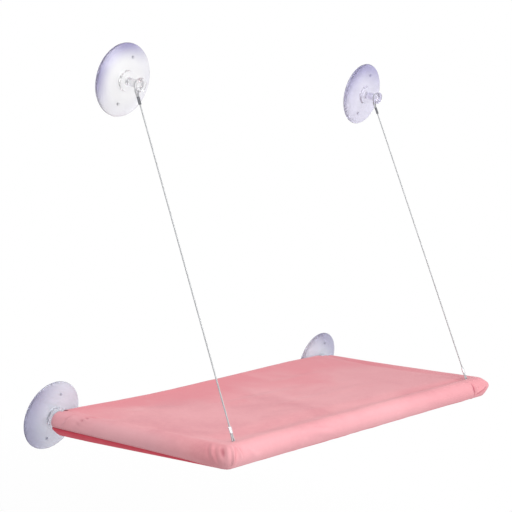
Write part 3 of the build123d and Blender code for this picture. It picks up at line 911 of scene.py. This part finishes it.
finished("hem_stitches", mesh_of(bm, "hem_stitches"), pink_thread, "platform")


# Cover, red lower panel
# Plain woven cloth, sewn to the pink panel's hem; its deep red is painted shade of the cover's lower side.
# It closes the underside and shows as a band along the sides that narrows towards the front. An opening near
# the rear lets the frame in.
underside = 13.3
under_reach = 20
opening_half, opening_width, opening_y = 210, 4, -70


def laid_under(u, v):
    near, out = from_frame(u, v)
    if out.length < 1e-9:
        inside = min(rail_half - abs(u), -v, rail_far + v)
        hang = 0.5 * noise.noise(Vector((u / 80, v / 60, 4.4))) * min(1.0, inside / 40)
        return Vector((u, v, -underside + 0.15 * min(1.0, inside / 20) + hang * 0.3))
    turn = out.length / roll
    return near + out.normalized() * roll * sin(turn) + Vector((0, 0, -roll * cos(turn)))


bm = cloth_grid(176, 120, under_reach)
fold_cloth(bm, laid_under, under_reach)
bmesh.ops.reverse_faces(bm, faces=bm.faces[:])
bm.normal_update()
for vertex in bm.verts:
    level = clamped((vertex.co.z + 13.6) / 6)
    near, out = from_frame(vertex.co.x, vertex.co.y)
    lift = 0.1 + 0.3 * level * noise.noise(vertex.co / 16)
    if out.length > 0.5:
        # At the hem it follows the pink panel's folds
        seam_height = seam_point.z + near.y * seam_drop / rail_far - corner_dip(vertex.co.x, vertex.co.y)
        hem_turn = acos(seam_height / roll)
        below = roll * (acos(max(-1.0, min(1.0, vertex.co.z / roll))) - hem_turn)
        hem = near + out.normalized() * roll * hem_turn
        lift += (rumple(hem.x, hem.y) - 0.3) * bell(below / 4)
    vertex.co += vertex.normal * lift
    # It bags a little under the rear half of each side
    bag = clamped((abs(vertex.co.x) - 234) / 24) * clamped((vertex.co.y + 225) / 180)
    vertex.co.z -= 2.8 * bag * clamped((-3.5 - vertex.co.z) / 8)
cut_at_seam(bm, False)


def in_opening(place, room):
    return abs(place.x) < opening_half + room and abs(place.y) < opening_width + room and place.z < 0


cut_window(bm, Matrix.Translation((0, opening_y, 0)), box_sides(opening_half, opening_width), in_opening)
bmesh.ops.transform(bm, matrix=deck, verts=bm.verts[:])

# The deep red is painted shade of the cover's lower side
underside_shade_tones = (paint(204, 66, 82), paint(220, 80, 96), paint(232, 96, 110))
underside_shade_cloth = brushed_cloth("shaded_underside_cloth", *underside_shade_tones, 60, 0.5, 0.15)
under = finished("red_underside", mesh_of(bm, "red_underside"), underside_shade_cloth, "platform")
wall = under.modifiers.new("cloth", "SOLIDIFY")
wall.thickness = cloth_thickness / 1000
wall.offset = -1
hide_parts("cover_bottom")


# Closing flap
# A strip of the same red cloth, sewn along the rear edge of the opening, lies over it and is held shut by a
# loop tape on the underside and a hook tape on the flap. All three are 440 to 452 mm long.
flap_centre = (0, -86, -15.05)


def tape(name, size, centre, thickness, lay, material, node, cells):
    bm = bmesh.new()
    bmesh.ops.create_grid(bm, x_segments=cells[0], y_segments=cells[1], size=0.5)
    bmesh.ops.scale(bm, vec=(size[0], size[1], 1), verts=bm.verts[:])
    flat = bm.loops.layers.uv.new("cloth")
    for face in bm.faces:
        for loop in face.loops:
            loop[flat].uv = (loop.vert.co.x / 1000, loop.vert.co.y / 1000)
    for vertex in bm.verts:
        vertex.co.z = lay(vertex.co.x, vertex.co.y)
    bmesh.ops.translate(bm, vec=centre, verts=bm.verts[:])
    bmesh.ops.transform(bm, matrix=deck, verts=bm.verts[:])
    piece = finished(name, mesh_of(bm, name), material, "platform")
    wall = piece.modifiers.new("cloth", "SOLIDIFY")
    wall.thickness = thickness / 1000
    wall.offset = -1
    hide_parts(node)


def flat_lay(x, y):
    return 0.0


def flap_lay(x, y):
    """The flap comes up to its sewn rear edge and hangs a little between there and the tapes."""
    rise = clamped((y - 17) / 6)
    lift = 1.7 * rise * rise * (3 - 2 * rise)
    return lift + 0.25 * noise.noise(Vector((x / 40, y / 25, 6.2)))


tape_tones = (paint(160, 60, 74), paint(182, 80, 92), paint(200, 100, 110))
tape_cloth = brushed_cloth("hook_and_loop", *tape_tones, 400, 1.2, 0.1)
tape("closing_flap_cloth", (452, 52), flap_centre, 1.0, flap_lay, underside_shade_cloth, "closing_flap", (180, 26))
for name, node, z in (("loop_tape", "loop_strip", -13.25), ("hook_tape", "hook_strip", -14.1)):
    tape(name, (440, 20), (0, -90, z), 0.75, flat_lay, tape_cloth, node, (120, 8))

# Rows of red thread hold the flap's sewn edge, and the hook tape that lies under it
bm = bmesh.new()
for y in (23, 4.5, -12.5):
    for k in range(-64, 65):
        place = Vector((k * stitch_pitch, y, flap_lay(k * stitch_pitch, y) - 1.0)) + Vector(flap_centre)
        add_stitch(bm, place, Vector((1, 0, 0)), Vector((0, 0, -1)), stitch_length)
bmesh.ops.transform(bm, matrix=deck, verts=bm.verts[:])
red_thread = brushed_cloth("red_thread", paint(160, 44, 60), paint(176, 56, 72), paint(190, 70, 84), 300, 1.0, 0.15)
finished("flap_stitches", mesh_of(bm, "flap_stitches"), red_thread, "platform")


# Frame
# Extruded plastic tubes with moulded corner elbows and couplers, hidden in the cover. They show only through
# the slots and slits. A steel pin across each front elbow holds the cable's eye.
skin_outputs = ("Tone", "Roughness", "Height")
moulded_skin, given, made = new_group("moulded_skin", {"Scale": 700.0, "Dullness": 0.4}, skin_outputs)
grain = add_node(moulded_skin, "TexNoise", {"Vector": given["Vector"], "Scale": given["Scale"], "Detail": 2})
flow = add_node(moulded_skin, "TexNoise", {"Vector": given["Vector"], "Scale": 45, "Detail": 3})
rough = add_node(moulded_skin, "Math", {0: flow.outputs[0], 1: 0.2, 2: given["Dullness"]}, operation="MULTIPLY_ADD")
moulded_skin.links.new(flow.outputs[0], made.inputs["Tone"])
moulded_skin.links.new(rough.outputs[0], made.inputs["Roughness"])
moulded_skin.links.new(grain.outputs[0], made.inputs["Height"])


def plastic(name, dark, light, dullness):
    return skinned(name, moulded_skin, {"Dullness": dullness}, dark, light, 0.3, 0.00005)[0]


tube_plastic = plastic("tube_plastic", paint(214, 213, 209), paint(228, 227, 223), 0.34)
joint_plastic = plastic("joint_plastic", paint(44, 44, 47), paint(58, 58, 62), 0.4)
pin_steel = metal("pin_steel", paint(140, 140, 142), paint(176, 176, 178), 0.2, 900, 0.00002)
kinds = {"tube": tube_plastic, "elbow": joint_plastic, "coupler": joint_plastic, "pin": pin_steel}
for name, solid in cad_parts.items():
    kind = name.rsplit("_", 1)[-1]
    if kind in kinds:
        solid.data.materials.clear()
        solid.data.materials.append(kinds[kind])
